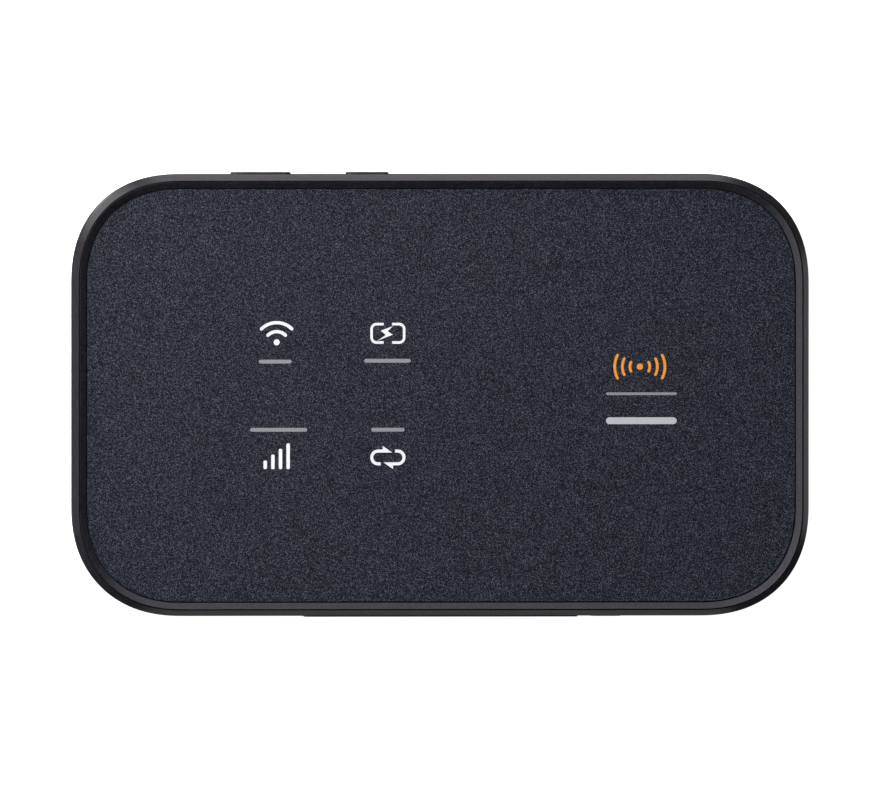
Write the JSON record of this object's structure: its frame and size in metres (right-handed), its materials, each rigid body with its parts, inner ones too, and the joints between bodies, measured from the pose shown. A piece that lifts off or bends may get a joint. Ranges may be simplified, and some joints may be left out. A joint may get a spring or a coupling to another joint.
{
  "type": "mobile hotspot",
  "caption": "Slim rounded pocket 4G WiFi hotspot lying on its back, speckled front panel with four status icons in a raised rim, side keys, clip-on back cover over a removable battery.",
  "frame": {"origin": "middle of the flat back face", "axes": "+Z out of the front panel, +X along the long side to the right, +Y to the key edge; the device lies on its back"},
  "size_m": [0.0968, 0.0584, 0.0128],
  "materials": {
    "rim_plastic": "satin gun-metal paint",
    "cover_plastic": "fine matte texture",
    "panel_speckle": "fine speckled film under a satin coat",
    "icon_white": "translucent white",
    "black_plastic": "moulded",
    "tape": "foam tape",
    "rubber_black": "soft",
    "board_green": "solder mask over glass epoxy",
    "shield_steel": "tinned sheet",
    "screw_steel": "zinc plated",
    "thermal_pad": "soft grey gap filler",
    "copper": "gold flashed",
    "led_lens": "clear lens over phosphor",
    "label_paper": "blank label film",
    "battery_wrap": "film-wrapped aluminium can",
    "sim_white": "card plastic"
  },
  "bodies": {
    "back_cover": {"back_cover": "cover_plastic"},
    "main_unit": {"front_housing": "rim_plastic", "bezel_ring": "rim_plastic", "front_panel": "panel_speckle", "panel_tape": "tape", "port_trim": "rim_plastic", "light_guide_wifi": "icon_white", "light_guide_battery": "icon_white", "light_guide_signal": "icon_white", "light_guide_data": "icon_white", "led_wifi": "led_lens", "led_battery": "led_lens", "led_signal": "led_lens", "led_data": "led_lens", "light_baffle": "black_plastic", "main_board": "board_green", "baseband_shield": "shield_steel", "radio_shield": "shield_steel", "power_shield": "shield_steel", "thermal_pad": "thermal_pad", "power_switch": "shield_steel", "pairing_switch": "shield_steel", "reset_switch": "shield_steel", "usb_shell": "shield_steel", "usb_tongue": "black_plastic", "antenna_jack": "copper", "main_antenna": "copper", "diversity_antenna": "copper", "wifi_antenna": "shield_steel", "mid_frame": "black_plastic", "bay_label": "label_paper", "screw_1": "screw_steel", "screw_2": "screw_steel", "screw_3": "screw_steel", "screw_4": "screw_steel", "screw_5": "screw_steel", "screw_6": "screw_steel", "battery_connector": "black_plastic", "contact_spring_1": "copper", "contact_spring_2": "copper", "contact_spring_3": "copper", "sim_holder": "shield_steel"},
    "battery": {"battery_cell": "battery_wrap", "battery_end_cap": "black_plastic"},
    "power_key": {"power_key": "rim_plastic"},
    "pairing_key": {"pairing_key": "rim_plastic"},
    "reset_key": {"reset_key": "rim_plastic"},
    "antenna_plug": {"antenna_plug": "rubber_black"},
    "sim_card": {"sim_card": "sim_white"}
  },
  "joints": [
    {"name": "housing_lift", "type": "slide", "parent": "back_cover", "child": "main_unit", "axis": [0, 0, 1], "range_m": [0, 0.024]},
    {"name": "battery_release", "type": "slide", "parent": "main_unit", "child": "battery", "axis": [0, 0, -1], "range_m": [0, 0.012]},
    {"name": "sim_slide", "type": "slide", "parent": "main_unit", "child": "sim_card", "axis": [0, -1, 0], "range_m": [0, 0.012]},
    {"name": "plug_pull", "type": "slide", "parent": "main_unit", "child": "antenna_plug", "axis": [0, -1, 0], "range_m": [0, 0.006]},
    {"name": "power_press", "type": "slide", "parent": "main_unit", "child": "power_key", "axis": [0, -1, 0], "range_m": [0, 0.00025], "stiffness_N_per_m": 4000},
    {"name": "pairing_press", "type": "slide", "parent": "main_unit", "child": "pairing_key", "axis": [0, -1, 0], "range_m": [0, 0.00025], "stiffness_N_per_m": 4000},
    {"name": "reset_press", "type": "slide", "parent": "main_unit", "child": "reset_key", "axis": [0, -1, 0], "range_m": [0, 0.00025], "stiffness_N_per_m": 4000}
  ],
  "couplings": [
    {"joint": "battery_release", "follows": "housing_lift", "ratio": 0.5}
  ]
}
